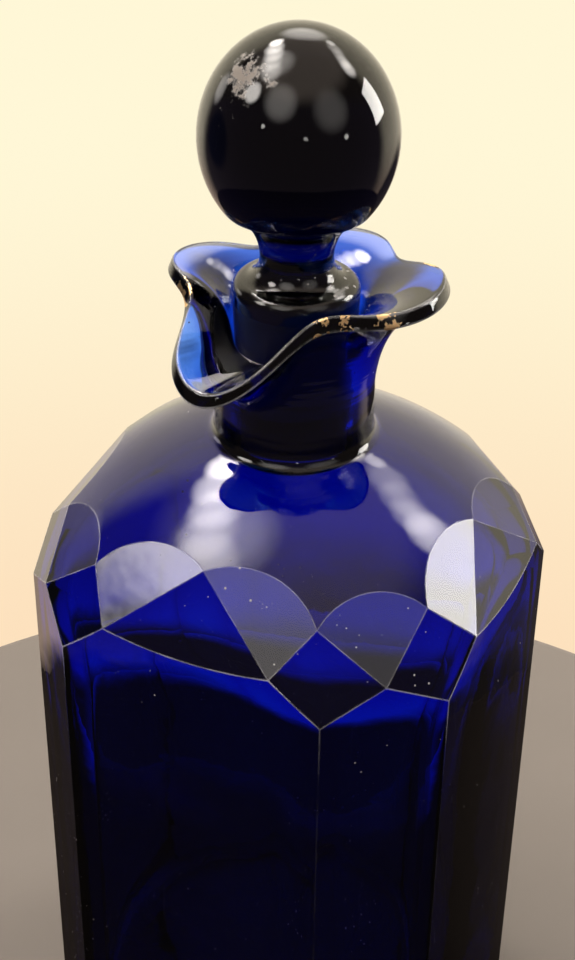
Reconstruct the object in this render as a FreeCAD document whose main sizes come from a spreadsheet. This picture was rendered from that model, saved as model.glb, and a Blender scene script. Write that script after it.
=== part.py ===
"""Cut-glass decanter bottle with a ruffled pouring lip and a ball stopper.

Frame: +Z up, origin at the middle of the flat base. The wide faces look along X and Y, and the pouring
spout points between -X and -Y. Lengths are millimetres.
"""
import FreeCAD, Part
import math
import os

import Sketcher

V = FreeCAD.Vector
doc = FreeCAD.newDocument("decanter")

# ---------------------------------------------------------------- driving dimensions

SIZES = {
    "face_crown": 46.4,          # middle of a wide face from the axis
    "face_bow": 200.0,           # bowing radius of a wide face
    "cant_reach": 50.5,          # canted corner from the axis
    "base_chamfer": 1.2,
    "dome_radius": 63.2,
    "dome_height": 100.0,        # centre of the dome's sphere above the base
    "diamond_top_reach": 44.1,   # top point of a corner diamond from the axis
    "diamond_foot": 129.2,       # bottom point of a corner diamond above the base
    "side_point": 17.0,          # side point of a diamond from the middle of the wide face
    "gable_top_reach": 37.6,     # top point of a gable facet from the axis
    "cutter_span": 120.0,
    "cutter_depth": 40.0,
    "wall": 5.0,
    "hollow_round": 46.5,        # radius that rounds the hollow's corners
    "hollow_dome": 54.5,
    "hollow_floor": 9.0,
    "neck_base": 161.0,          # where the neck leaves the dome
    "neck_reach": 15.3,
    "neck_root_fillet": 2.6,
    "neck_root_rise": 2.1,       # where the fillet starts above the neck base
    "neck_sunk": 4.0,            # how far the neck's foot reaches into the dome
    "neck_length": 12.0,
    "throat_rise": 19.0,         # top of the ground seat above the neck base
    "lip_edge_out": 1.2,         # how far the rim's lower edge stands outside its upper edge
    "lip_edge_down": 2.6,
    "seat_clearance": 0.05,
    "plug_tip_rise": -1.0,       # heights below are above the neck base too
    "plug_tip_reach": 10.55,
    "plug_top_rise": 29.5,
    "plug_top_reach": 11.9,
    "plug_chamfer": 0.8,
    "shoulder_reach": 9.6,
    "shoulder_rise": 32.2,
    "waist_rise": 36.5,
    "waist_reach": 6.8,
    "stem_reach": 13.2,
    "stem_rise": 46.2,
    "ball_rise": 59.3,
    "ball_reach": 18.0,
    "ball_half_height": 20.0,
}

# Rim of the ruffled lip, round from +X: (angle in degrees, distance from the axis, height above the neck base).
# Four lobes stand between four pinches, and the lobe near 250 degrees is pulled down as the spout.
RIM = (
    (0, 26.0, 33.0),
    (20, 27.2, 33.0),
    (42, 26.0, 31.8),
    (58, 23.5, 30.3),
    (76, 27.0, 30.8),
    (98, 27.0, 31.0),
    (118, 24.0, 31.0),
    (134, 20.0, 30.0),
    (152, 22.5, 30.7),
    (170, 25.8, 31.3),
    (188, 24.0, 31.0),
    (203, 19.7, 29.0),
    (222, 22.3, 22.5),
    (240, 25.0, 18.8),
    (256, 24.8, 18.0),
    (272, 21.6, 21.5),
    (291, 18.0, 28.0),
    (312, 17.3, 32.3),
    (336, 21.5, 32.7),
)
FLARE_STEPS = (0.3, 0.6, 0.85, 1.0)
FLARE_REACH = 0.12               # how soon the flare turns outward
FLARE_RISE = 0.88                # how much of its height it has gained by then

sheet = doc.addObject("Spreadsheet::Sheet", "sizes")
for row, (name, value) in enumerate(SIZES.items(), start=1):
    sheet.set(f"A{row}", name)
    sheet.set(f"B{row}", str(value))
    sheet.setAlias(f"B{row}", name)
doc.recompute()


def size(name):
    """The value of one cell of the sheet."""
    return float(sheet.get(name))


def primitive(kind, name, **expressions):
    """A Part primitive whose sizes are bound to the sheet."""
    shape = doc.addObject(f"Part::{kind}", name)
    for prop, expression in expressions.items():
        shape.setExpression(prop.replace("__", "."), expression)
    return shape


# ---------------------------------------------------------------- bottle body

def dome_z(reach):
    """Height of the dome above the base at a distance from the axis."""
    return size("dome_height") + math.sqrt(size("dome_radius") ** 2 - reach**2)


def face_x(lateral):
    """Distance of a bowed wide face from the axis plane, at a distance along the face."""
    return size("face_crown") - size("face_bow") + math.sqrt(size("face_bow") ** 2 - lateral**2)


def corner_point():
    """Where a bowed wide face meets a canted corner, found by bisection along the face."""
    low, high = 0.0, size("face_crown")
    for _ in range(60):
        middle = (low + high) / 2
        if face_x(middle) + middle < size("cant_reach") * math.sqrt(2):
            low = middle
        else:
            high = middle
    return V(face_x(low), low, 0)


def body_blank():
    """The uncut body: bowed square, canted corners and dome, as the common part of round and flat solids."""
    solids = []
    for turn in range(4):
        name = f"bowed_face_{turn + 1}"
        solid = primitive("Cylinder", name, Radius="sizes.face_bow", Height="sizes.neck_base")
        angle = 90 * turn
        offset = "(sizes.face_bow - sizes.face_crown)"
        solid.setExpression("Placement.Base.x", f"-{offset} * cos({angle} deg)")
        solid.setExpression("Placement.Base.y", f"-{offset} * sin({angle} deg)")
        solids.append(solid)
    cant = primitive("Box", "canted_square", Length="2 * sizes.cant_reach", Width="2 * sizes.cant_reach",
                     Height="sizes.neck_base")
    cant.Placement = FreeCAD.Placement(V(0, 0, 0), FreeCAD.Rotation(V(0, 0, 1), 45))
    cant.setExpression("Placement.Base.y", "-sizes.cant_reach * sqrt(2)")
    solids.append(cant)
    dome = primitive("Sphere", "dome", Radius="sizes.dome_radius")
    dome.setExpression("Placement.Base.z", "sizes.dome_height")
    skirt = primitive("Cylinder", "dome_skirt", Radius="sizes.dome_radius", Height="sizes.dome_height")
    rounded = doc.addObject("Part::Fuse", "domed_column")
    rounded.Base = dome
    rounded.Tool = skirt
    solids.append(rounded)
    blank = doc.addObject("Part::MultiCommon", "body_blank")
    blank.Shapes = solids
    return blank


def facet_cutter(name, points):
    """A box whose lower face lies on the plane of three points, standing outward from it."""
    first, second, third = points
    middle = (first + second + third) / 3
    normal = (second - first).cross(third - first)
    normal.normalize()
    if normal.dot(middle - V(0, 0, size("dome_height"))) < 0:
        normal = -normal
    box = primitive("Box", name, Length="sizes.cutter_span", Width="sizes.cutter_span",
                    Height="sizes.cutter_depth")
    turn = FreeCAD.Rotation(V(0, 0, 1), normal)
    half = size("cutter_span") / 2
    box.Placement = FreeCAD.Placement(middle - turn.multVec(V(half, half, 0)), turn)
    return box


def facet_cutters():
    """The 24 shoulder facets: 8 diamonds on the upright edges, 4 gables over the wide faces and 12 kites."""
    corner = corner_point()
    corner_reach = corner.Length
    corner_angle = math.atan2(corner.y, corner.x)
    top_reach = size("diamond_top_reach")
    slope = (size("diamond_foot") - dome_z(top_reach)) / (corner_reach - top_reach)

    def on_diamond(x, y):
        """The point of the first corner's diamond plane above a point of the plan."""
        reach = x * math.cos(corner_angle) + y * math.sin(corner_angle)
        return V(x, y, dome_z(top_reach) + slope * (reach - top_reach))

    def turned(point, quarter, mirrored=False):
        """A point carried to another face by mirroring it in the XZ plane and by quarter turns."""
        start = V(point.x, -point.y if mirrored else point.y, point.z)
        return FreeCAD.Rotation(V(0, 0, 1), 90 * quarter).multVec(start)

    foot = V(corner.x, corner.y, size("diamond_foot"))
    top = V(top_reach * math.cos(corner_angle), top_reach * math.sin(corner_angle), dome_z(top_reach))
    side = on_diamond(face_x(size("side_point")), size("side_point"))
    cant_xy = size("cant_reach") / math.sqrt(2)
    cant = on_diamond(cant_xy, cant_xy)
    gable_top = V(size("gable_top_reach"), 0, dome_z(size("gable_top_reach")))
    far_top = V(top.y, top.x, top.z)

    cutters = []
    for quarter in range(4):
        gable = [turned(p, quarter) for p in (side, V(side.x, -side.y, side.z), gable_top)]
        cutters.append(facet_cutter(f"gable_cut_{quarter + 1}", gable))
        kite = [turned(p, quarter) for p in (top, far_top, cant)]
        cutters.append(facet_cutter(f"corner_kite_cut_{quarter + 1}", kite))
        for mirrored in (False, True):
            number = 2 * quarter + mirrored + 1
            diamond = [turned(p, quarter, mirrored) for p in (foot, side, cant)]
            cutters.append(facet_cutter(f"diamond_cut_{number}", diamond))
            kite = [turned(p, quarter, mirrored) for p in (gable_top, side, top)]
            cutters.append(facet_cutter(f"side_kite_cut_{number}", kite))
    return cutters


def cut_body():
    """The body with its shoulder facets, one cut after another."""
    shape = body_blank()
    for cutter in facet_cutters():
        cut = doc.addObject("Part::Cut", cutter.Name.replace("_cut_", "_facet_"))
        cut.Base = shape
        cut.Tool = cutter
        shape = cut
    return shape


def hollow():
    """The inside of the body: a rounded square with a dome, open to the bore above."""
    box = primitive("Box", "hollow_square", Length="2 * (sizes.face_crown - sizes.wall)",
                    Width="2 * (sizes.face_crown - sizes.wall)", Height="sizes.neck_base")
    box.setExpression("Placement.Base.x", "sizes.wall - sizes.face_crown")
    box.setExpression("Placement.Base.y", "sizes.wall - sizes.face_crown")
    box.setExpression("Placement.Base.z", "sizes.hollow_floor")
    column = primitive("Cylinder", "hollow_round_column", Radius="sizes.hollow_round",
                       Height="sizes.neck_base")
    dome = primitive("Sphere", "hollow_dome", Radius="sizes.hollow_dome")
    dome.setExpression("Placement.Base.z", "sizes.dome_height")
    skirt = primitive("Cylinder", "hollow_skirt", Radius="sizes.hollow_dome", Height="sizes.dome_height")
    rounded = doc.addObject("Part::Fuse", "hollow_domed_column")
    rounded.Base = dome
    rounded.Tool = skirt
    inside = doc.addObject("Part::MultiCommon", "hollow")
    inside.Shapes = [box, column, rounded]
    return inside


# ---------------------------------------------------------------- neck and lip

def pin(sketch, edge, end, x_expression, y_expression):
    """Fixes one end of a sketch edge at a place bound to the sheet."""
    point = sketch.getPoint(edge, end)
    for kind, value, expression in (("DistanceX", point.x, x_expression), ("DistanceY", point.y, y_expression)):
        index = sketch.addConstraint(Sketcher.Constraint(kind, -1, 1, edge, end, value))
        sketch.setExpression(f"Constraints[{index}]", expression)


def revolved_body(name, build_profile, ball=False):
    """A PartDesign body turned from a half profile about Z, with an ellipsoid added first where asked."""
    body = doc.addObject("PartDesign::Body", name)
    if ball:
        solid = body.newObject("PartDesign::AdditiveEllipsoid", f"{name}_ball")
        solid.setExpression("Radius1", "sizes.ball_half_height")
        solid.setExpression("Radius2", "sizes.ball_reach")
        solid.setExpression("Radius3", "sizes.ball_reach")
        solid.Angle1 = -90
        solid.Angle2 = 90
        solid.Placement = FreeCAD.Placement(V(0, 0, size("neck_base") + size("ball_rise")), FreeCAD.Rotation())
        solid.setExpression("Placement.Base.z", "sizes.neck_base + sizes.ball_rise")
        doc.recompute()
    sketch = body.newObject("Sketcher::SketchObject", f"{name}_profile")
    plane = next(item for item in body.Origin.OriginFeatures if item.Role == "XZ_Plane")
    sketch.AttachmentSupport = [(plane, "")]
    sketch.MapMode = "FlatFace"
    doc.recompute()
    build_profile(sketch)
    doc.recompute()
    turned = body.newObject("PartDesign::Revolution", f"{name}_turned")
    turned.Profile = sketch
    turned.ReferenceAxis = (sketch, ["V_Axis"])
    turned.Angle = 360
    body.Tip = turned
    doc.recompute()
    return body


def neck_profile(sketch):
    """Half section of the neck: a plain cylinder on a quarter-round fillet that meets the dome."""
    base = size("neck_base")
    foot = base - size("neck_sunk")
    reach = size("neck_reach")
    fillet = size("neck_root_fillet")
    wide = reach + fillet
    start = base + size("neck_root_rise")
    top = base + size("neck_length")
    arc = Part.ArcOfCircle(Part.Circle(V(wide, start, 0), V(0, 0, 1), fillet), math.pi, 1.5 * math.pi)
    edges = [
        sketch.addGeometry(Part.LineSegment(V(0, foot, 0), V(wide, foot, 0))),
        sketch.addGeometry(Part.LineSegment(V(wide, foot, 0), V(wide, start - fillet, 0))),
        sketch.addGeometry(arc),
        sketch.addGeometry(Part.LineSegment(V(reach, start, 0), V(reach, top, 0))),
        sketch.addGeometry(Part.LineSegment(V(reach, top, 0), V(0, top, 0))),
        sketch.addGeometry(Part.LineSegment(V(0, top, 0), V(0, foot, 0))),
    ]
    bottom, edge, round_, side, cap, axis = edges
    for one, one_end, other, other_end in ((bottom, 2, edge, 1), (edge, 2, round_, 2), (round_, 1, side, 1),
                                           (side, 2, cap, 1), (cap, 2, axis, 1), (axis, 2, bottom, 1)):
        sketch.addConstraint(Sketcher.Constraint("Coincident", one, one_end, other, other_end))
    wide_cell = "sizes.neck_reach + sizes.neck_root_fillet"
    foot_cell = "sizes.neck_base - sizes.neck_sunk"
    start_cell = "sizes.neck_base + sizes.neck_root_rise"
    pin(sketch, bottom, 1, "0", foot_cell)
    pin(sketch, edge, 1, wide_cell, foot_cell)
    pin(sketch, edge, 2, wide_cell, f"{start_cell} - sizes.neck_root_fillet")
    pin(sketch, side, 1, "sizes.neck_reach", start_cell)
    pin(sketch, side, 2, "sizes.neck_reach", "sizes.neck_base + sizes.neck_length")
    pin(sketch, cap, 2, "0", "sizes.neck_base + sizes.neck_length")
    radius = sketch.addConstraint(Sketcher.Constraint("Radius", round_, fillet))
    sketch.setExpression(f"Constraints[{radius}]", "sizes.neck_root_fillet")


def bore_reach(rise):
    """Radius of the tapered seat at a height above the neck base: the plug's own taper plus the clearance."""
    taper = (size("plug_top_reach") - size("plug_tip_reach")) / (size("plug_top_rise") - size("plug_tip_rise"))
    return size("plug_tip_reach") + taper * (rise - size("plug_tip_rise")) + size("seat_clearance")


def flare(start, end, share):
    """A point of the flare's quadratic curve, from the throat (reach, rise) to the rim (reach, rise)."""
    bend = (start[0] + FLARE_REACH * (end[0] - start[0]), start[1] + FLARE_RISE * (end[1] - start[1]))
    weights = ((1 - share) ** 2, 2 * share * (1 - share), share**2)
    return tuple(sum(w * p[axis] for w, p in zip(weights, (start, bend, end))) for axis in (0, 1))


def ring(reaches_and_rises):
    """A closed smooth wire through one point on each of the rim's angles."""
    points = []
    for (angle, _, _), (reach, rise) in zip(RIM, reaches_and_rises):
        turn = math.radians(angle)
        points.append(V(reach * math.cos(turn), reach * math.sin(turn), size("neck_base") + rise))
    curve = Part.BSplineCurve()
    curve.interpolate(Points=points, PeriodicFlag=True)
    return Part.Wire([curve.toShape()])


def circle(reach, rise):
    """A flat circular wire about Z at a height above the neck base."""
    centre = V(0, 0, size("neck_base") + rise)
    return Part.Wire([Part.makeCircle(reach, centre, V(0, 0, 1))])


def ruffled_lip():
    """The flared lip, as a closed shell: foot disc, outer flare, square-cut rim, inner flare and throat disc."""
    foot = (size("neck_reach"), size("neck_length"))
    throat = (bore_reach(size("throat_rise")), size("throat_rise"))
    upper_edge = [(reach, rise) for _, reach, rise in RIM]
    lower_edge = [(reach + size("lip_edge_out"), rise - size("lip_edge_down")) for reach, rise in upper_edge]
    outer = [circle(*foot)]
    inner = [circle(*throat)]
    for share in FLARE_STEPS:
        outer.append(ring([flare(foot, end, share) for end in lower_edge]))
        inner.append(ring([flare(throat, end, share) for end in upper_edge]))
    outer_shell = Part.makeLoft(outer, False, False)
    inner_shell = Part.makeLoft(inner, False, False)
    rim_shell = Part.makeRuledSurface(outer[-1], inner[-1])
    faces = outer_shell.Faces + inner_shell.Faces + rim_shell.Faces
    faces += [Part.Face(outer[0]), Part.Face(inner[0])]
    shell = Part.makeShell(faces)
    shell.sewShape()
    solid = Part.makeSolid(shell)
    if solid.Volume < 0:
        solid.reverse()
    lip = doc.addObject("Part::Feature", "ruffled_lip")
    lip.Shape = solid
    return lip


def bore():
    """The tapered ground seat, from the hollow up to the throat."""
    cone = primitive("Cone", "seat_bore")
    taper = "(sizes.plug_top_reach - sizes.plug_tip_reach) / (sizes.plug_top_rise - sizes.plug_tip_rise)"
    drop = "(sizes.neck_base - sizes.dome_height - sizes.hollow_dome + 2)"
    foot = f"sizes.plug_tip_reach + {taper} * (-{drop} - sizes.plug_tip_rise) + sizes.seat_clearance"
    head = f"sizes.plug_tip_reach + {taper} * (sizes.throat_rise - sizes.plug_tip_rise) + sizes.seat_clearance"
    cone.setExpression("Radius1", foot)
    cone.setExpression("Radius2", head)
    cone.setExpression("Height", f"sizes.throat_rise + {drop}")
    cone.setExpression("Placement.Base.z", f"sizes.neck_base - {drop}")
    return cone


def bottle():
    """The whole bottle: body, neck and lip made one, less the hollow and the bore, its base edge chamfered."""
    solid = doc.addObject("Part::MultiFuse", "solid_bottle")
    solid.Shapes = [cut_body(), revolved_body("neck", neck_profile), ruffled_lip()]
    inside = doc.addObject("Part::MultiFuse", "inside")
    inside.Shapes = [hollow(), bore()]
    blown = doc.addObject("Part::Cut", "blown_bottle")
    blown.Base = solid
    blown.Tool = inside
    doc.recompute()
    chamfered = doc.addObject("Part::Chamfer", "bottle")
    chamfered.Base = blown
    width = size("base_chamfer")
    base_edges = [index for index, edge in enumerate(blown.Shape.Edges, start=1) if edge.BoundBox.ZMax < 0.01]
    chamfered.Edges = [(index, width, width) for index in base_edges]
    return chamfered


# ---------------------------------------------------------------- stopper

def stem_profile(sketch):
    """Half section under the ball: ground plug, rounded shoulder, waist and the flare into the ball."""
    base = size("neck_base")

    def at(reach, rise):
        """A point of the section from two cells of the sheet, a rise being above the neck base."""
        return V(size(reach), base + size(rise), 0)

    tip = at("plug_tip_reach", "plug_tip_rise")
    edge_low = tip + V(0, size("plug_chamfer"), 0)
    tip_flat = tip - V(size("plug_chamfer"), 0, 0)
    top = at("plug_top_reach", "plug_top_rise")
    shoulder = at("shoulder_reach", "shoulder_rise")
    waist = at("waist_reach", "waist_rise")
    stem = at("stem_reach", "stem_rise")
    ball = V(0, base + size("ball_rise"), 0)
    foot = V(0, tip.y, 0)
    bulge = V((top.x + shoulder.x) / 2 + 0.6, (top.y + shoulder.y) / 2 + 0.6, 0)
    hollow_low = V((shoulder.x + waist.x) / 2 - 0.7, (shoulder.y + waist.y) / 2 - 0.4, 0)
    hollow_high = V((waist.x + stem.x) / 2 - 1.5, (waist.y + stem.y) / 2 + 1.1, 0)
    lines = [
        Part.LineSegment(foot, tip_flat),
        Part.LineSegment(tip_flat, edge_low),
        Part.LineSegment(edge_low, top),
        Part.Arc(top, bulge, shoulder),
        Part.Arc(shoulder, hollow_low, waist),
        Part.Arc(waist, hollow_high, stem),
        Part.LineSegment(stem, ball),
        Part.LineSegment(ball, foot),
    ]
    edges = [sketch.addGeometry(line) for line in lines]
    low = "sizes.neck_base + sizes.plug_tip_rise"
    places = (
        (foot, "0", low),
        (tip_flat, "sizes.plug_tip_reach - sizes.plug_chamfer", low),
        (edge_low, "sizes.plug_tip_reach", f"{low} + sizes.plug_chamfer"),
        (top, "sizes.plug_top_reach", "sizes.neck_base + sizes.plug_top_rise"),
        (shoulder, "sizes.shoulder_reach", "sizes.neck_base + sizes.shoulder_rise"),
        (waist, "sizes.waist_reach", "sizes.neck_base + sizes.waist_rise"),
        (stem, "sizes.stem_reach", "sizes.neck_base + sizes.stem_rise"),
        (ball, "0", "sizes.neck_base + sizes.ball_rise"),
    )
    joints = []
    for number, (place, x_expression, y_expression) in enumerate(places):
        before = edges[number - 1]
        after = edges[number]
        ends = []
        for edge in (before, after):
            start = sketch.getPoint(edge, 1)
            ends.append(1 if start.distanceToPoint(place) < 1e-6 else 2)
        joints.append((before, ends[0], after, ends[1]))
        sketch.addConstraint(Sketcher.Constraint("Coincident", before, ends[0], after, ends[1]))
        pin(sketch, after, ends[1], x_expression, y_expression)
    for edge, line in zip(edges, lines):
        if isinstance(line, Part.Arc):
            sketch.addConstraint(Sketcher.Constraint("Radius", edge, sketch.Geometry[edge].Radius))


# ---------------------------------------------------------------- build, check and write

nodes = {"bottle": bottle(), "stopper": revolved_body("stopper", stem_profile, ball=True)}
doc.recompute()
for item in doc.Objects:
    if "Invalid" in item.State or "Error" in item.State:
        raise RuntimeError(f"{item.Label} failed: {item.State}")

os.makedirs("parts", exist_ok=True)
for name, item in nodes.items():
    item.Label = name
    shape = item.Shape
    if shape.isNull() or not shape.isValid():
        raise RuntimeError(f"{name} has no valid shape")
    shape.exportStep(f"parts/{name}.step")
    box = shape.BoundBox
    print(f"{name}: {len(shape.Solids)} solid(s), {shape.Volume / 1000:.1f} cm3, "
          f"x {box.XMin:.2f}..{box.XMax:.2f}, y {box.YMin:.2f}..{box.YMax:.2f}, z {box.ZMin:.2f}..{box.ZMax:.2f}")
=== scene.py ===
"""A cobalt cut-glass decanter bottle with a ruffled pouring lip and a solid ball stopper.

Both pieces are surfaces worked out with numpy in millimetres and put into the mesh in metres, in the frame of
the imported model: Z up, origin at the middle of the flat base, wide faces looking along X and Y.
"""
import math

import bmesh
import bpy
import numpy as np
from mathutils import Matrix, Vector


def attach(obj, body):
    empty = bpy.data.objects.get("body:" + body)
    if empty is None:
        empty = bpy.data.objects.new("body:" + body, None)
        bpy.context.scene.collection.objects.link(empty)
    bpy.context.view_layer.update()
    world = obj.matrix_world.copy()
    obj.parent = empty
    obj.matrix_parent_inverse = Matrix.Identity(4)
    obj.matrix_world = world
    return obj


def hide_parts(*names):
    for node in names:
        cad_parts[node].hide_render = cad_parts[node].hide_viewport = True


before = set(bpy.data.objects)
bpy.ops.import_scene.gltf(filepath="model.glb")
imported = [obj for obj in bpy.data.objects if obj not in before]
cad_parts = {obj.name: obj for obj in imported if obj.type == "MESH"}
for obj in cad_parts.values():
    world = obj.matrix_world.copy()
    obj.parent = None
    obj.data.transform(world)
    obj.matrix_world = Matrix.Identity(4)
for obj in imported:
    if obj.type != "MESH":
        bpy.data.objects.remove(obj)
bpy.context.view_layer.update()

MM = 0.001

# ---------------------------------------------------------------- sizes, in millimetres

FACE_CROWN, FACE_BOW, CANT_REACH, BASE_CHAMFER = 46.4, 200.0, 50.5, 1.2
DOME_RADIUS, DOME_CENTRE = 63.2, 100.0
DIAMOND_TOP_REACH, DIAMOND_FOOT, SIDE_POINT, GABLE_TOP_REACH = 44.1, 129.2, 17.0, 37.6
HOLLOW_FACE, HOLLOW_ROUND, HOLLOW_DOME, HOLLOW_FLOOR, HOLLOW_FOOT_ROUND = 41.4, 46.5, 54.5, 9.0, 7.0
NECK_BASE, NECK_REACH, NECK_FILLET, NECK_LENGTH = 161.0, 15.3, 2.6, 12.0
THROAT_RISE, SEAT_CLEARANCE = 19.0, 0.05
PLUG_TIP, PLUG_TOP, PLUG_CHAMFER = (10.55, -1.0), (11.9, 29.5), 0.8
SHOULDER, WAIST, STEM = (9.6, 32.2), (6.8, 36.5), (13.6, 46.2)
BALL_RISE, BALL_REACH, BALL_HALF_HEIGHT = 59.3, 18.0, 20.0
LIP_EDGE_OUT, LIP_EDGE_DOWN, RIM_ROUND = 1.2, 2.6, 0.5
FLARE_REACH, FLARE_RISE = 0.12, 0.88   # how far out and up the lip's curves bend, as shares of their run
FLARE_END, RIM_BEND = 0.955, 0.97    # shares of the curves where the rim's rounding begins and where it bends
MOUTH_RISE = -8.0                    # where the seat's taper would meet the hollow, from the neck's base
WALL_POWER, DOME_POWER = 48.0, 32.0  # how sharply the hollow's faces and its dome meet
SHOULDER_BULGE, WAIST_BULGE, STEM_BULGE = (0.6, 0.6), (-0.7, -0.4), (-1.5, 1.1)

# The rim's inner edge: angle in degrees from +X, distance from the axis, height above the neck's base.
RIM = np.array([
    (0, 26.0, 33.0), (20, 27.2, 33.0), (42, 26.0, 31.8), (58, 23.5, 30.3), (76, 27.0, 30.8), (98, 27.0, 31.0),
    (118, 24.0, 31.0), (134, 20.0, 30.0), (152, 22.5, 30.7), (170, 25.8, 31.3), (188, 24.0, 31.0),
    (203, 19.7, 29.0), (222, 22.3, 22.5), (240, 25.0, 18.8), (256, 24.8, 18.0), (272, 21.6, 21.5),
    (291, 18.0, 28.0), (312, 17.3, 32.3), (336, 21.5, 32.7)])
GILDING = ((201, 7), (309, 6), (322, 3), (340, 6), (118, 6), (40, 7))   # where it is left: angle, spread

# Columns of the body's grid across a wide face and across a cant, and rows up the dome.
FACE_COLUMNS, CANT_COLUMNS, DOME_ROWS = 28, 12, 39
TURNED_COLUMNS = 160                 # columns of a turned piece
SHARP_EDGE = math.radians(20)        # edges that turn more than this are not smoothed

# ---------------------------------------------------------------- finishes, in metres where they are sizes

GLASS_IOR = 1.52
DUST_GRAIN, SCRATCH_GRAIN, EDGE_GLINT_AND_WEAR_GRAIN, BALL_PATCH_GRAIN, GILT_GRAIN = 420.0, 260.0, 170.0, 480.0, 520.0
SWELL_GRAIN, RIPPLE_GRAIN, RING_GRAIN = 38.0, 120.0, 30.0   # all grains are patterns in a metre
SWELL_STRENGTH, SWELL_HEIGHT = 0.35, 0.0012
EDGE_ROUND, EDGE_GLINT_AND_WEAR_MILK = 0.0004, 0.55  # how far polish has rounded the cut edges, and how milky the painted glint and wear along them leave the glass
CUTS_FOOT = (0.118, 0.131)           # heights between which the painted glint and wear of the edges grow
SEAT_EDGE = (0.1895, 0.1885)         # heights between which the ground seat begins
NECK_RINGS = ((0.164, 0.167), (0.190, 0.182))   # where the neck's tool rings fade in and out
BALL_PATCH_MIDDLE, BALL_PATCH_REACH = (-0.0041, -0.0121, 0.2343), 0.0085   # the pale brownish patch high on the ball

# the second tone is a pale painted glint along the cut edges, with some wear
# the third tone is the pale brownish patch high on the ball
DUST, EDGE_GLINT_AND_WEAR_TONE, BALL_PATCH_TONE = (0.55, 0.52, 0.50, 1.0), (0.80, 0.78, 0.84, 1.0), (0.62, 0.55, 0.49, 1.0)
CLEAR_SKIN, GOLD = (1.0, 1.0, 1.0, 1.0), (1.0, 0.68, 0.34, 1.0)


# ---------------------------------------------------------------- shapes

def seat_taper():
    """Growth of the ground seat's radius for each millimetre of height."""
    return (PLUG_TOP[0] - PLUG_TIP[0]) / (PLUG_TOP[1] - PLUG_TIP[1])


def seat_reach(rise):
    """Radius of the seat at a height above the neck's base: the plug's taper plus the clearance."""
    return PLUG_TIP[0] + seat_taper() * (rise - PLUG_TIP[1]) + SEAT_CLEARANCE


def face_x(lateral):
    """Distance of a bowed wide face from the middle plane: a circle of the bowing radius."""
    return FACE_CROWN - FACE_BOW + np.sqrt(FACE_BOW**2 - lateral**2)


def corner_xy():
    """Where a bowed face meets a cant: the bow's circle and the line x + y = cant reach times root two."""
    sum_xy = CANT_REACH * math.sqrt(2) + FACE_BOW - FACE_CROWN
    lateral = (sum_xy - math.sqrt(2 * FACE_BOW**2 - sum_xy**2)) / 2
    return np.array([face_x(lateral), lateral])


def column_angles():
    """Angles of the grid's columns: faces and cants divided evenly, with a column on every corner."""
    corner = math.atan2(*corner_xy()[::-1])
    face = np.linspace(-corner, corner, FACE_COLUMNS, endpoint=False)
    cant = np.linspace(corner, math.pi / 2 - corner, CANT_COLUMNS, endpoint=False)
    quarter = np.concatenate([face, cant])
    return np.concatenate([quarter + turn * math.pi / 2 for turn in range(4)])


ANGLES = column_angles()


def wall_reach(angles):
    """Distance of the walls from the axis: the least of four bows (circles) and four cants (lines)."""
    turns = np.radians([0, 90, 180, 270])[:, None]
    offset = FACE_BOW - FACE_CROWN
    facing = np.cos(angles - turns)
    bowed = -offset * facing + np.sqrt(offset**2 * facing**2 + FACE_BOW**2 - offset**2)
    facing = np.cos(angles - turns - math.pi / 4)
    cants = CANT_REACH / np.maximum(facing, 0.01)
    return np.minimum(bowed.min(0), cants.min(0))


def rings(reaches, heights, angles=ANGLES):
    """A grid of points: each row has a distance from the axis and a height, one or one for each column."""
    rows = [np.stack([reach * np.cos(angles), reach * np.sin(angles), height + 0 * angles], -1)
            for reach, height in zip(reaches, heights)]
    return np.array(rows) * MM


def bezier(start, bend, end, share):
    """A point of a quadratic curve: start, bend and end weighted by (1-t) squared, 2t(1-t) and t squared."""
    return (1 - share) ** 2 * start + 2 * share * (1 - share) * bend + share**2 * end


def periodic_spline(knots, values, where):
    """Cubic spline through values at knots in degrees, smooth round the full turn, read at other angles."""
    count = len(knots)
    step = np.diff(np.append(knots, knots[0] + 360.0))
    before = np.roll(step, 1)
    rise = (np.roll(values, -1) - values) / step
    system = np.zeros((count, count))
    index = np.arange(count)
    system[index, index] = 2 * (before + step)
    system[index, index - 1] += before
    system[index, (index + 1) % count] += step
    curl = np.linalg.solve(system, 6 * (rise - np.roll(rise, 1)))
    place = (where - knots[0]) % 360 + knots[0]
    cell = np.searchsorted(knots, place, side="right") - 1
    after = (cell + 1) % count
    width = step[cell]
    right = (place - knots[cell]) / width
    left = 1 - right
    bend = ((left**3 - left) * curl[cell] + (right**3 - right) * curl[after]) * width**2 / 6
    return left * values[cell] + right * values[after] + bend


def closed_grid(points, first_pole=None, last_pole=None):
    """Quads between neighbouring rows of a grid that runs round the axis, with a fan to a pole at an end."""
    rows, columns = points.shape[:2]
    here = np.arange(columns)
    there = (here + 1) % columns
    low = np.arange(rows - 1)[:, None] * columns
    quads = np.stack([low + here, low + there, low + there + columns, low + here + columns], -1)
    vertices = points.reshape(-1, 3)
    faces = quads.reshape(-1, 4).tolist()
    if first_pole is not None:
        pole = len(vertices)
        vertices = np.vstack([vertices, first_pole])
        faces += np.stack([here * 0 + pole, there, here], -1).tolist()
    if last_pole is not None:
        pole = len(vertices)
        last = (rows - 1) * columns
        vertices = np.vstack([vertices, last_pole])
        faces += np.stack([here * 0 + pole, last + here, last + there], -1).tolist()
    return vertices, faces


def mesh_of(name, vertices, faces):
    """A mesh with all its faces smooth."""
    mesh = bpy.data.meshes.new(name)
    mesh.from_pydata(vertices.tolist(), [], faces)
    mesh.polygons.foreach_set("use_smooth", np.ones(len(mesh.polygons), bool))
    return mesh


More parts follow.
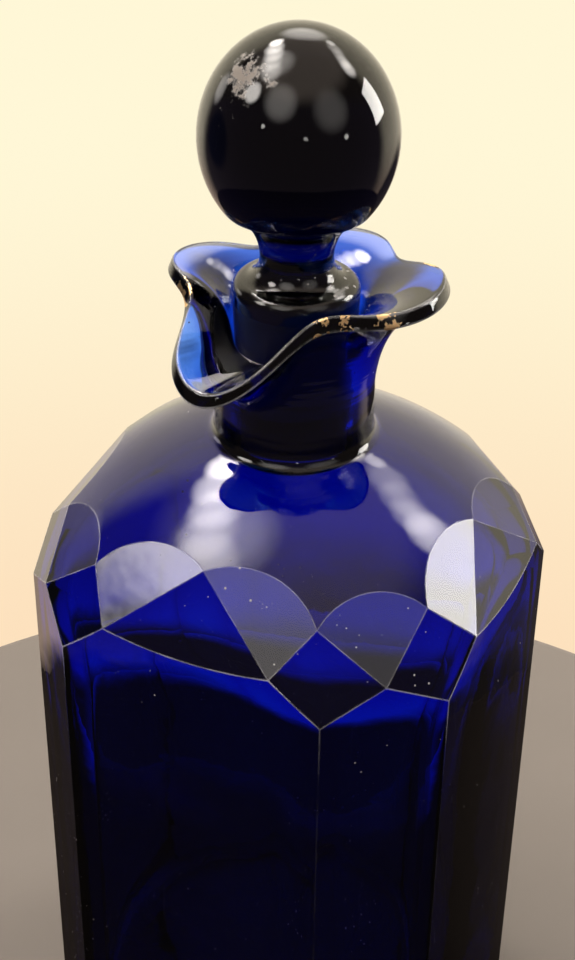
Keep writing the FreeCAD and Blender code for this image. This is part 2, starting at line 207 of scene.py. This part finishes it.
def outer_body():
    """Grid of the uncut body: flat base, chamfer, upright walls and the dome's sphere up to the neck."""
    wall = wall_reach(ANGLES)
    spring = DOME_CENTRE + np.sqrt(DOME_RADIUS**2 - wall**2)
    reaches = [(wall - BASE_CHAMFER) * share for share in (0.25, 0.5, 0.75, 1.0)]
    heights = [0.0] * 4
    for share in np.linspace(0, 1, 25):
        reaches.append(wall)
        heights.append(BASE_CHAMFER + share * (spring - BASE_CHAMFER))
    neck_ring = DOME_RADIUS * (NECK_REACH + NECK_FILLET) / (DOME_RADIUS + NECK_FILLET)
    for share in np.linspace(0, 1, DOME_ROWS)[1:]:
        reach = wall + share * (neck_ring - wall)
        reaches.append(reach)
        heights.append(DOME_CENTRE + np.sqrt(DOME_RADIUS**2 - reach**2))
    return rings(reaches, heights)


def facet_planes():
    """The 24 planes of the shoulder cuts, each through three points where facets meet on walls and dome."""
    corner = corner_xy()
    corner_reach = np.hypot(*corner)
    along = corner / corner_reach

    def dome_z(reach):
        """Height of the dome at a distance from the axis."""
        return DOME_CENTRE + math.sqrt(DOME_RADIUS**2 - reach**2)

    slope = (DIAMOND_FOOT - dome_z(DIAMOND_TOP_REACH)) / (corner_reach - DIAMOND_TOP_REACH)

    def on_diamond(x, y):
        """The point of the first diamond's plane above a point of the plan."""
        reach = x * along[0] + y * along[1]
        return np.array([x, y, dome_z(DIAMOND_TOP_REACH) + slope * (reach - DIAMOND_TOP_REACH)])

    top = np.array([*(DIAMOND_TOP_REACH * along), dome_z(DIAMOND_TOP_REACH)])
    foot = np.array([*corner, DIAMOND_FOOT])
    side = on_diamond(face_x(SIDE_POINT), SIDE_POINT)
    cant = on_diamond(CANT_REACH / math.sqrt(2), CANT_REACH / math.sqrt(2))
    gable_top = np.array([GABLE_TOP_REACH, 0, dome_z(GABLE_TOP_REACH)])
    flip = np.array([1, -1, 1])
    diamond, kite = np.array([foot, side, cant]), np.array([gable_top, side, top])
    first = [np.array([side, side * flip, gable_top]), np.array([top, top[[1, 0, 2]], cant]),
             diamond, kite, diamond * flip, kite * flip]
    planes = []
    for turn in range(4):
        spin = np.array(Matrix.Rotation(turn * math.pi / 2, 3, "Z"))
        for corners in first:
            one, two, three = corners @ spin.T
            normal = np.cross(two - one, three - one)
            normal /= np.linalg.norm(normal)
            if normal @ (one - (0, 0, DOME_CENTRE)) < 0:
                normal = -normal
            planes.append((one * MM, normal))
    return planes


def neck_lip_and_inside():
    """Grid from the dome up the neck and flared lip, over the rim, down the seat and round the hollow.

    The fillet is an arc touching neck and dome. Outside and inside of the lip are quadratic curves from neck
    and throat to the rim's two edges, which follow a periodic spline. The hollow's dome is a sphere and its
    wall a rounded square, blended by a high power mean. The second result is the gilding at each point: 1 on
    the rim's rows, times a bell curve of the angle round each place where it is left.
    """
    reaches, rises, gilt = [], [], []

    def add(points, gold=0.0):
        """Adds rows given as (reach, rise)."""
        for reach, rise in points:
            reaches.append(reach + 0 * ANGLES)
            rises.append(rise + 0 * ANGLES)
            gilt.append(gold)

    fillet_reach, fillet_far = NECK_REACH + NECK_FILLET, DOME_RADIUS + NECK_FILLET
    centre = (fillet_reach, math.sqrt(fillet_far**2 - fillet_reach**2) + DOME_CENTRE - NECK_BASE)
    touch = math.asin(fillet_reach / fillet_far)
    add((centre[0] - NECK_FILLET * math.sin(turn), centre[1] - NECK_FILLET * math.cos(turn))
        for turn in np.linspace(touch, math.pi / 2, 9))
    add((NECK_REACH, rise) for rise in np.linspace(centre[1], NECK_LENGTH, 8)[1:])

    degrees = np.degrees(ANGLES)
    upper = np.array([periodic_spline(RIM[:, 0], RIM[:, column], degrees) for column in (1, 2)])
    lower = upper + np.array([[LIP_EDGE_OUT], [-LIP_EDGE_DOWN]])

    def flare(start, end, share):
        """A point of the lip's curve from the neck or throat to an edge of the rim."""
        start = np.array(start)[:, None]
        bend = start + np.array([[FLARE_REACH], [FLARE_RISE]]) * (end - start)
        return bezier(start, bend, end, share)

    outer_start, inner_start = (NECK_REACH, NECK_LENGTH), (seat_reach(THROAT_RISE), THROAT_RISE)
    add(flare(outer_start, lower, share) for share in np.linspace(0, FLARE_END, 22)[1:])
    across = (upper - lower) / math.hypot(LIP_EDGE_OUT, LIP_EDGE_DOWN) * RIM_ROUND
    quarters = (0, 0.25, 0.5, 0.75, 1)
    add((bezier(flare(outer_start, lower, RIM_BEND), lower, lower + across, share) for share in quarters), 1)
    add((lower + across + (upper - lower - 2 * across) * share for share in (0.33, 0.67)), 1)
    add((bezier(upper - across, upper, flare(inner_start, upper, RIM_BEND), share) for share in quarters), 1)
    add(flare(inner_start, upper, share) for share in np.linspace(FLARE_END, 0, 22))

    mouth = math.asin(seat_reach(MOUTH_RISE) / HOLLOW_DOME)
    mouth_rise = DOME_CENTRE + HOLLOW_DOME * math.cos(mouth) - NECK_BASE
    add((seat_reach(rise), rise) for rise in np.linspace(THROAT_RISE, mouth_rise, 12)[1:])
    square = HOLLOW_FACE / np.maximum(np.abs(np.cos(ANGLES)), np.abs(np.sin(ANGLES)))
    hollow_wall = (square**-WALL_POWER + HOLLOW_ROUND**-WALL_POWER) ** (-1 / WALL_POWER)
    for polar in np.linspace(mouth, math.pi / 2, 30)[1:]:
        distance = (hollow_wall / math.sin(polar)) ** -DOME_POWER + HOLLOW_DOME**-DOME_POWER
        distance **= -1 / DOME_POWER
        add([(distance * math.sin(polar), DOME_CENTRE - NECK_BASE + distance * math.cos(polar))])
    hollow_wall = reaches[-1]
    foot = HOLLOW_FLOOR + HOLLOW_FOOT_ROUND
    add((hollow_wall, height - NECK_BASE) for height in np.linspace(DOME_CENTRE, foot, 12)[1:])
    for turn in np.linspace(0, math.pi / 2, 8)[1:]:
        add([(hollow_wall - HOLLOW_FOOT_ROUND * (1 - math.cos(turn)),
              foot - HOLLOW_FOOT_ROUND * math.sin(turn) - NECK_BASE)])
    flat = reaches[-1]
    add((flat * share, HOLLOW_FLOOR - NECK_BASE) for share in (0.75, 0.5, 0.25))
    around = sum(np.exp(-(((degrees - middle + 180) % 360 - 180) / spread) ** 2)
                 for middle, spread in GILDING)
    return rings(reaches, np.array(rises) + NECK_BASE), np.outer(gilt, np.minimum(around, 1)).ravel()


def bottle_mesh():
    """Cuts the 24 facets off the body's grid, then closes it with the neck, the lip and the inside."""
    mesh = mesh_of("body_blank", *closed_grid(outer_body(), first_pole=(0, 0, 0)))
    bm = bmesh.new()
    bm.from_mesh(mesh)
    for place, normal in facet_planes():
        cut = bmesh.ops.bisect_plane(bm, geom=bm.verts[:] + bm.edges[:] + bm.faces[:], dist=1e-7,
                                     plane_co=place, plane_no=normal, clear_outer=True)
        rim = [item for item in cut["geom_cut"] if isinstance(item, bmesh.types.BMEdge)]
        made = bmesh.ops.contextual_create(bm, geom=rim)["faces"]
        for face in made:
            face.material_index = 1
            face.normal_update()
            if face.normal.dot(Vector(normal)) < 0:
                face.normal_flip()
    facets = [face for face in bm.faces if face.material_index]
    for face in facets:
        face.material_index = 0
        face.smooth = False
        for edge in face.edges:
            edge.smooth = False
    points, gilt = neck_lip_and_inside()
    upper = mesh_of("neck_lip_inside", *closed_grid(points, last_pole=(0, 0, HOLLOW_FLOOR * MM)))
    attribute = upper.attributes.new("gilding", "FLOAT", "POINT")
    attribute.data.foreach_set("value", np.append(gilt, 0.0).astype(np.float32))
    bm.verts.layers.float.new("gilding")
    bm.from_mesh(upper)
    bmesh.ops.remove_doubles(bm, verts=bm.verts[:], dist=2e-6)
    for edge in bm.edges:
        if edge.calc_face_angle(0) > SHARP_EDGE:
            edge.smooth = False
    bm.to_mesh(mesh)
    bm.free()
    mesh.name = "bottle_glass_body"
    return mesh


def arc(start, bulge, end, count):
    """Points of a circular arc through three points of the half section, the first one left out."""
    (ax, ay), (bx, by), (cx, cy) = start, bulge, end
    twice_area = 2 * (ax * (by - cy) + bx * (cy - ay) + cx * (ay - by))
    a2, b2, c2 = ax * ax + ay * ay, bx * bx + by * by, cx * cx + cy * cy
    mx = (a2 * (by - cy) + b2 * (cy - ay) + c2 * (ay - by)) / twice_area
    my = (a2 * (cx - bx) + b2 * (ax - cx) + c2 * (bx - ax)) / twice_area
    radius = math.hypot(ax - mx, ay - my)
    angles = np.unwrap([math.atan2(y - my, x - mx) for x, y in (start, bulge, end)])
    sweep = np.linspace(angles[0], angles[2], count + 1)[1:]
    return [(mx + radius * math.cos(turn), my + radius * math.sin(turn)) for turn in sweep]


def stopper_mesh():
    """Turned half section: chamfered ground plug, then arcs for shoulder, waist and stem, then the ball's
    ellipse."""
    tip_z = PLUG_TIP[1]
    profile = [(PLUG_TIP[0] * 0.5, tip_z), (PLUG_TIP[0] - PLUG_CHAMFER, tip_z),
               (PLUG_TIP[0], tip_z + PLUG_CHAMFER)]
    for share in np.linspace(0, 1, 16)[1:]:
        profile.append((PLUG_TIP[0] + share * (PLUG_TOP[0] - PLUG_TIP[0]),
                        tip_z + PLUG_CHAMFER + share * (PLUG_TOP[1] - tip_z - PLUG_CHAMFER)))
    for start, end, (out, up), count in ((PLUG_TOP, SHOULDER, SHOULDER_BULGE, 8),
                                         (SHOULDER, WAIST, WAIST_BULGE, 8), (WAIST, STEM, STEM_BULGE, 12)):
        bulge = ((start[0] + end[0]) / 2 + out, (start[1] + end[1]) / 2 + up)
        profile += arc(start, bulge, end, count)
    first = math.asin((STEM[1] - BALL_RISE) / BALL_HALF_HEIGHT)
    for turn in np.linspace(first, math.pi / 2, 64)[1:-1]:
        profile.append((BALL_REACH * math.cos(turn), BALL_RISE + BALL_HALF_HEIGHT * math.sin(turn)))
    profile = np.array(profile)
    angles = np.linspace(0, 2 * math.pi, TURNED_COLUMNS, endpoint=False)
    points = rings(profile[:, 0], profile[:, 1] + NECK_BASE, angles)
    bottom = (0, 0, (NECK_BASE + tip_z) * MM)
    top = (0, 0, (NECK_BASE + BALL_RISE + BALL_HALF_HEIGHT) * MM)
    mesh = mesh_of("stopper_glass_body", *closed_grid(points, bottom, top))
    mesh.set_sharp_from_angle(angle=math.radians(30))
    return mesh


# ---------------------------------------------------------------- finishes

class Finish:
    """A material under construction, with short ways to add and join nodes."""

    def __init__(self, name):
        self.material = bpy.data.materials.new(name)
        self.material.use_nodes = True
        self.tree = self.material.node_tree
        self.tree.nodes.clear()
        self.output = self.node("OutputMaterial")
        self.place = self.node("TexCoord").outputs["Object"]

    def node(self, kind, **settings):
        """A new node with some of its properties set."""
        node = self.tree.nodes.new("ShaderNode" + kind)
        for name, value in settings.items():
            setattr(node, name, value)
        return node

    def feed(self, socket, value):
        """Joins an output to a socket, or sets the socket's own value."""
        if isinstance(value, bpy.types.NodeSocket):
            self.tree.links.new(value, socket)
        else:
            socket.default_value = value

    def noise(self, scale, detail=2.0, rough=0.5, stretch=None, distortion=0.0):
        """Noise on Object coordinates; stretch squeezes the pattern along an axis."""
        node = self.node("TexNoise")
        place = self.place
        if stretch:
            mapping = self.node("Mapping")
            self.feed(mapping.inputs["Vector"], place)
            mapping.inputs["Scale"].default_value = stretch
            place = mapping.outputs["Vector"]
        self.feed(node.inputs["Vector"], place)
        settings = {"Scale": scale, "Detail": detail, "Roughness": rough, "Distortion": distortion}
        for socket, value in settings.items():
            node.inputs[socket].default_value = value
        return node.outputs["Fac"]

    def math(self, operation, one, two=0.0, clamp=False):
        """A sum, product or comparison of two values."""
        node = self.node("Math", operation=operation, use_clamp=clamp)
        self.feed(node.inputs[0], one)
        self.feed(node.inputs[1], two)
        return node.outputs[0]

    def between(self, value, low, high, to_low=0.0, to_high=1.0):
        """A value spread from one range to another, held at the ends."""
        node = self.node("MapRange", clamp=True)
        for socket, number in zip(node.inputs[:5], (value, low, high, to_low, to_high)):
            self.feed(socket, number)
        return node.outputs[0]

    def mix(self, share, one, two):
        """A mix of two colours."""
        node = self.node("Mix", data_type="RGBA")
        self.feed(node.inputs["Factor"], share)
        self.feed(node.inputs["A"], one)
        self.feed(node.inputs["B"], two)
        return node.outputs["Result"]

    def coordinate(self, axis):
        """One Object coordinate, in metres."""
        node = self.node("SeparateXYZ")
        self.feed(node.inputs[0], self.place)
        return node.outputs[axis]


class Skin:
    """What the layers of a glass surface change in turn: colour, how clear it is and how rough."""

    def __init__(self, make, colour, clear, roughness):
        self.make, self.colour, self.clear, self.roughness = make, colour, clear, roughness

    def cover(self, share, colour, milky, rough):
        """Lays a film over part of the skin: its colour, how much less clear and how much rougher it is."""
        make = self.make
        self.colour = make.mix(share, self.colour, colour)
        self.clear = make.math("SUBTRACT", self.clear, make.math("MULTIPLY", share, milky), clamp=True)
        self.roughness = make.math("ADD", self.roughness, make.math("MULTIPLY", share, rough))


def dusty_skin(make):
    """Clear polished glass with fine upright scratches, and specks of dust where a slow noise is high."""
    cells = make.node("TexVoronoi", feature="F1")
    make.feed(cells.inputs["Vector"], make.place)
    cells.inputs["Scale"].default_value = DUST_GRAIN
    drift = make.noise(45.0, 3.0)
    dust = make.math("LESS_THAN", cells.outputs["Distance"], make.between(drift, 0.52, 0.75, 0.0, 0.16))
    scratch = make.noise(SCRATCH_GRAIN, 4.0, 0.6, stretch=(1.0, 1.0, 0.12), distortion=1.2)
    scratch = make.between(scratch, 0.64, 0.70)
    skin = Skin(make, CLEAR_SKIN, 1.0, make.between(scratch, 0, 1, 0.012, 0.09))
    skin.cover(dust, DUST, 0.75, 0.6)
    return skin


def paint_edge_glint_and_wear(make, skin, polish):
    """Pale milky film where the rounded normal turns away from the flat one, in stretches along the cuts: a
    painted glint on the edges, with some real wear.
    """
    turned = make.node("VectorMath", operation="DOT_PRODUCT")
    make.feed(turned.inputs[0], polish)
    make.feed(turned.inputs[1], make.node("NewGeometry").outputs["Normal"])
    edge = make.between(turned.outputs["Value"], 0.9992, 0.985)
    edge = make.math("MULTIPLY", edge, make.between(make.noise(EDGE_GLINT_AND_WEAR_GRAIN, 3.0), 0.36, 0.62, 0.25, 1.0))
    edge = make.math("MULTIPLY", edge, make.between(make.coordinate("Z"), *CUTS_FOOT, 0.04, 1.0))
    # painted glint along the edges, with some wear: paler, less clear and rougher
    skin.cover(edge, EDGE_GLINT_AND_WEAR_TONE, EDGE_GLINT_AND_WEAR_MILK, 0.25)


def add_ball_patch(make, skin):
    """A pale brownish patch high on the ball: the distance from its middle and a fine noise, added and cut
    off sharply.
    """
    from_middle = make.node("VectorMath", operation="DISTANCE")
    make.feed(from_middle.inputs[0], make.place)
    from_middle.inputs[1].default_value = BALL_PATCH_MIDDLE
    near = make.between(from_middle.outputs["Value"], BALL_PATCH_REACH, 0.0015, 0.0, 0.30)
    patch_share = make.between(make.math("ADD", near, make.noise(BALL_PATCH_GRAIN, 6.0, 0.7)), 0.70, 0.80)
    skin.cover(patch_share, BALL_PATCH_TONE, 0.45, 0.2)


def grind_seat(make, skin):
    """The plug's ground seat is matt below its edge."""
    seat = make.between(make.coordinate("Z"), *SEAT_EDGE)
    skin.roughness = make.math("ADD", skin.roughness, make.math("MULTIPLY", seat, 0.35), clamp=True)


def gild_rim(make, skin):
    """What is left of the gilding: the mesh's attribute less a noise. Gives the gilded share."""
    mark = make.node("Attribute", attribute_name="gilding").outputs["Fac"]
    worn = make.between(make.noise(GILT_GRAIN, 4.0, 0.6), 0.38, 0.62, 0.35, 1.25)
    gold = make.between(make.math("SUBTRACT", mark, worn), 0.0, 0.03)
    skin.colour = make.mix(gold, skin.colour, GOLD)
    skin.roughness = make.math("ADD", skin.roughness, make.math("MULTIPLY", gold, 0.28), clamp=True)
    return gold


def neck_rings(make):
    """Faint level rings left by the tool round the neck: flattened noise, kept to the neck's height."""
    ring = make.noise(RING_GRAIN, 2.0, 0.5, stretch=(1.0, 1.0, 14.0))
    low, high = (make.between(make.coordinate("Z"), *heights) for heights in NECK_RINGS)
    return make.math("MULTIPLY", make.math("MULTIPLY", ring, make.math("MULTIPLY", low, high)), 0.22)


def cobalt_glass(name, tint, density, bottle):
    """Solid cobalt glass: a clear skin, light soaked up inside by real depth, and faint hand-made ripples."""
    make = Finish(name)
    rounded = make.node("Bevel", samples=6)
    rounded.inputs["Radius"].default_value = EDGE_ROUND
    polish = rounded.outputs["Normal"]
    skin = dusty_skin(make)
    # pale painted glint along the cut edges, with some wear
    paint_edge_glint_and_wear(make, skin, polish)
    glass = make.node("BsdfPrincipled")
    glass.inputs["IOR"].default_value = GLASS_IOR
    small = make.math("MULTIPLY", make.noise(RIPPLE_GRAIN, 2.0), 0.12)
    swell = make.math("ADD", make.noise(SWELL_GRAIN, 1.0), small)
    if bottle:
        make.feed(glass.inputs["Metallic"], gild_rim(make, skin))
        swell = make.math("ADD", swell, neck_rings(make))
    else:
        add_ball_patch(make, skin)
        grind_seat(make, skin)
    ripple = make.node("Bump")
    ripple.inputs["Strength"].default_value = SWELL_STRENGTH
    ripple.inputs["Distance"].default_value = SWELL_HEIGHT
    make.feed(ripple.inputs["Height"], swell)
    make.feed(ripple.inputs["Normal"], polish)
    for socket, value in (("Base Color", skin.colour), ("Roughness", skin.roughness),
                          ("Transmission Weight", skin.clear), ("Normal", ripple.outputs["Normal"])):
        make.feed(glass.inputs[socket], value)
    soak = make.node("VolumeAbsorption")
    soak.inputs["Color"].default_value = (*tint, 1.0)
    soak.inputs["Density"].default_value = density
    make.feed(make.output.inputs["Surface"], glass.outputs[0])
    make.feed(make.output.inputs["Volume"], soak.outputs[0])
    return make.material


# ---------------------------------------------------------------- the two pieces

def piece(name, mesh, material, body, node):
    """An object at the origin that rides on its body and stands for its CAD node."""
    mesh.materials.clear()
    mesh.materials.append(material)
    thing = bpy.data.objects.new(name, mesh)
    bpy.context.scene.collection.objects.link(thing)
    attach(thing, body)
    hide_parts(node)
    return thing


bottle_glass = cobalt_glass("cobalt_bottle_glass", (0.0, 0.43, 0.87), 880.0, bottle=True)
stopper_glass = cobalt_glass("cobalt_stopper_glass", (0.0, 0.30, 0.72), 700.0, bottle=False)
piece("cut_bottle", bottle_mesh(), bottle_glass, "bottle", "bottle")
piece("ball_stopper", stopper_mesh(), stopper_glass, "stopper", "stopper")

# ---------------------------------------------------------------- camera, floor and light

VIEW_TURN, VIEW_RISE, VIEW_ROLL = math.radians(25.23), math.radians(32.5), math.radians(0.8)
TARGET, DISTANCE = Vector((-0.0010, -0.0005, 0.1489)), 0.3466


def towards(azimuth, elevation):
    """Unit vector towards a place seen from the object: azimuth 0 is the side of -Y, 90 the side of +X."""
    turn, rise = math.radians(azimuth), math.radians(elevation)
    return Vector((math.sin(turn) * math.cos(rise), -math.cos(turn) * math.cos(rise), math.sin(rise)))


def set_camera():
    """A long lens looking down at the shoulder of the bottle, tilted a little to one side."""
    lens = bpy.data.cameras.new("studio_camera")
    lens.lens, lens.sensor_width, lens.clip_start = 66.0, 36.0, 0.01
    camera = bpy.data.objects.new("studio_camera", lens)
    back = towards(math.degrees(VIEW_TURN), math.degrees(VIEW_RISE))
    level = Vector((math.cos(VIEW_TURN), math.sin(VIEW_TURN), 0))
    upright = back.cross(level)
    right = math.cos(VIEW_ROLL) * level + math.sin(VIEW_ROLL) * upright
    over = back.cross(right)
    camera.matrix_world = Matrix((right, over, back)).transposed().to_4x4()
    camera.location = TARGET + DISTANCE * back
    bpy.context.scene.collection.objects.link(camera)
    bpy.context.scene.camera = camera


def soft_box(name, azimuth, elevation, distance, width, height, radiance, colour=(1.0, 0.96, 0.9)):
    """A rectangular soft light facing the middle of the bottle, as bright per unit of face as radiance."""
    light = bpy.data.lights.new(name, "AREA")
    light.shape, light.size, light.size_y, light.color = "RECTANGLE", width, height, colour
    light.energy = radiance * math.pi * width * height
    lamp = bpy.data.objects.new(name, light)
    way = towards(azimuth, elevation)
    lamp.location = Vector((0, 0, 0.14)) + way * distance
    lamp.rotation_euler = way.to_track_quat("Z", "Y").to_euler()
    lamp.visible_camera = False
    lamp.visible_transmission = False
    bpy.context.scene.collection.objects.link(lamp)


def round_floor(radius=0.165, edge=0.004):
    """A round pale floor: a disc with its edge rolled down, as a turned half section.

    The camera and the soft light see it pale. The glass sees it dark, with a brighter edge seen through it.
    """
    roll = np.linspace(0, math.pi / 2, 7)
    flat_reach = radius - edge
    rolled = flat_reach + edge * np.sin(roll[1:])
    reaches = np.concatenate([[radius * 0.5, flat_reach], rolled, [radius]]) / MM
    heights = np.concatenate([[0, 0], edge * (np.cos(roll[1:]) - 1), [-0.012]]) / MM
    angles = np.linspace(0, 2 * math.pi, TURNED_COLUMNS, endpoint=False)
    mesh = mesh_of("floor", *closed_grid(rings(reaches[::-1], heights[::-1], angles), last_pole=(0, 0, 0)))
    make = Finish("pale_floor")
    paint = make.node("BsdfPrincipled")
    pale = make.mix(make.noise(30.0, 4.0), (0.185, 0.16, 0.138, 1), (0.21, 0.182, 0.157, 1))
    make.feed(paint.inputs["Base Color"], pale)
    paint.inputs["Roughness"].default_value = 0.7
    shade = make.node("BsdfDiffuse")
    shade.inputs["Color"].default_value = (0.024, 0.019, 0.017, 1)
    rays = make.node("LightPath").outputs
    squares = [make.math("POWER", make.coordinate(axis), 2) for axis in "XY"]
    from_middle = make.math("SQRT", make.math("ADD", *squares))
    near_edge = make.math("POWER", make.between(from_middle, 0.138, 0.166), 2)
    edge_light = make.node("Emission")
    edge_light.inputs["Color"].default_value = (1.0, 1.0, 1.1, 1)
    make.feed(edge_light.inputs["Strength"], make.math("MULTIPLY", rays["Is Transmission Ray"], near_edge))
    seen_by_glass = make.node("AddShader")
    make.feed(seen_by_glass.inputs[0], shade.outputs[0])
    make.feed(seen_by_glass.inputs[1], edge_light.outputs[0])
    blend = make.node("MixShader")
    make.feed(blend.inputs[0], make.math("MAXIMUM", rays["Is Camera Ray"], rays["Is Diffuse Ray"]))
    make.feed(blend.inputs[1], seen_by_glass.outputs[0])
    make.feed(blend.inputs[2], paint.outputs[0])
    make.feed(make.output.inputs["Surface"], blend.outputs[0])
    mesh.materials.append(make.material)
    floor = bpy.data.objects.new("floor", mesh)
    bpy.context.scene.collection.objects.link(floor)


# The room as polished glass mirrors it: the lit wall from its foot up, the dim side in front, the ceiling,
# what lies under the floor's edge and two dark corners (azimuth, elevation, radii as below, colour).
WALL_FOOT, WALL_TOP = (0.55, 0.40, 0.31), (1.25, 1.12, 0.85)
DIM_SIDE, CEILING, UNDER_FLOOR = (0.10, 0.08, 0.075), (0.80, 0.66, 0.56), (0.028, 0.022, 0.021)
DARK_CORNERS = ((173, -38, 13, 21, (0.05, 0.04, 0.04)), (-76, -10, 11, 19, (0.03, 0.03, 0.04)))
# The light that shines through the glass: under the floor's edge, just over it, higher, in front and above.
THROUGH_LOW, THROUGH_FOOT, THROUGH_WALL = (0.03, 0.03, 0.04), (1.0, 1.0, 1.15), (0.8, 0.8, 1.1)
THROUGH_FRONT, THROUGH_CEILING = (0.20, 0.20, 0.22), (0.7, 0.6, 0.55)
EVEN_LIGHT = (0.34, 0.31, 0.28)      # what dull surfaces get
BACKDROP_FOOT, BACKDROP_TOP = (0.98, 0.74, 0.50), (1.0, 0.93, 0.68)

# Soft glows: azimuth, elevation, radius of the bright middle and of the end in degrees, brightness.
GLOWS = (
    (-126, 51, 1, 7, 20.0), (-114, 57, 1, 10, 12.0), (-98, 62, 1, 11, 9.0), (-76, 63, 1, 12, 5.0),
    (-55, 61, 1, 13, 5.5), (176, 44, 1, 4.5, 6.0), (166, 47, 1, 8, 3.0), (155, 48, 1, 8, 3.0),
    (145, 47, 1, 9, 4.5), (137, 43, 1, 10, 9.0), (-96, 12, 2, 11, 2.5), (-72, 68, 2, 20, 3.6),
    (-50, 37.5, 5.5, 11, 10.5), (-158, 43, 5, 17, 3.8), (-4, 43, 5, 22, 1.9), (67, 33, 4, 24, 0.9),
    (32, 11, 1, 2.5, 7.0), (79, 6, 1, 3, 9.0), (-18, 17, 1, 2.5, 8.0),
)


def room_light():
    """Plain room: a cream wall lit behind the bottle, a dim room in front, and soft glows high at both sides.

    Light Path keeps apart what the camera sees, what polished glass mirrors, what shines through it, and the
    even light on dull surfaces.
    """
    world = bpy.data.worlds.new("room")
    bpy.context.scene.world = world
    world.use_nodes = True
    tree = world.node_tree
    tree.nodes.clear()

    def node(kind, **settings):
        """A new node of the room's light."""
        made = tree.nodes.new("ShaderNode" + kind)
        for name, value in settings.items():
            setattr(made, name, value)
        return made

    def step(value, low, high):
        """A value spread from low to high over 0 to 1, eased at both ends."""
        made = node("MapRange", interpolation_type="SMOOTHSTEP")
        tree.links.new(value, made.inputs[0])
        made.inputs[1].default_value, made.inputs[2].default_value = low, high
        return made.outputs[0]

    def along(direction):
        """Cosine of the angle between the way looked and a direction."""
        made = node("VectorMath", operation="DOT_PRODUCT")
        tree.links.new(way, made.inputs[0])
        made.inputs[1].default_value = direction
        return made.outputs["Value"]

    def spot(azimuth, elevation, middle, end):
        """Share of a round spot, full inside its middle and nothing past its end, both in degrees."""
        toward_it = along(towards(azimuth, elevation))
        return step(toward_it, math.cos(math.radians(end)), math.cos(math.radians(middle)))

    def mix(share, one, two):
        """A mix of two colours, each a colour or a socket."""
        made = node("Mix", data_type="RGBA")
        tree.links.new(share, made.inputs["Factor"])
        for socket, value in (("A", one), ("B", two)):
            if isinstance(value, bpy.types.NodeSocket):
                tree.links.new(value, made.inputs[socket])
            else:
                made.inputs[socket].default_value = (*value, 1)
        return made.outputs["Result"]

    way = node("TexCoord").outputs["Generated"]
    split = node("SeparateXYZ")
    tree.links.new(way, split.inputs[0])
    height = split.outputs["Z"]
    wall = mix(step(height, -0.62, -0.2), WALL_FOOT, WALL_TOP)
    room = mix(step(along(towards(195, 0)), 0.3, 0.55), DIM_SIDE, wall)
    room = mix(step(height, 0.62, 0.85), room, CEILING)
    for azimuth, elevation, middle, end, colour in DARK_CORNERS:
        room = mix(spot(azimuth, elevation, middle, end), room, colour)
    room = mix(step(height, -0.603, -0.622), room, UNDER_FLOOR)
    for azimuth, elevation, middle, end, brightness in GLOWS:
        glow = node("Mix", data_type="RGBA", blend_type="ADD")
        tree.links.new(spot(azimuth, elevation, middle, end), glow.inputs["Factor"])
        tree.links.new(room, glow.inputs["A"])
        glow.inputs["B"].default_value = (brightness, 0.94 * brightness, 0.88 * brightness, 1)
        room = glow.outputs["Result"]
    rays = node("LightPath")
    through = mix(step(height, -0.61, -0.50), THROUGH_LOW, THROUGH_FOOT)
    through = mix(step(height, -0.50, -0.42), through, THROUGH_WALL)
    through = mix(step(along(towards(205, 0)), -0.2, 0.35), THROUGH_FRONT, through)
    through = mix(step(height, 0.3, 0.8), through, THROUGH_CEILING)
    backdrop = mix(step(height, -0.65, -0.35), BACKDROP_FOOT, BACKDROP_TOP)
    for kind, seen in (("Is Transmission Ray", through), ("Is Diffuse Ray", EVEN_LIGHT),
                       ("Is Camera Ray", backdrop)):
        room = mix(rays.outputs[kind], room, seen)
    background = node("Background")
    tree.links.new(room, background.inputs["Color"])
    tree.links.new(background.outputs[0], node("OutputWorld").inputs["Surface"])


set_camera()
round_floor()
room_light()
bpy.context.scene.view_settings.view_transform = "Standard"
soft_box("right_window", 131, 19, 0.9, 0.30, 0.40, 13.0)
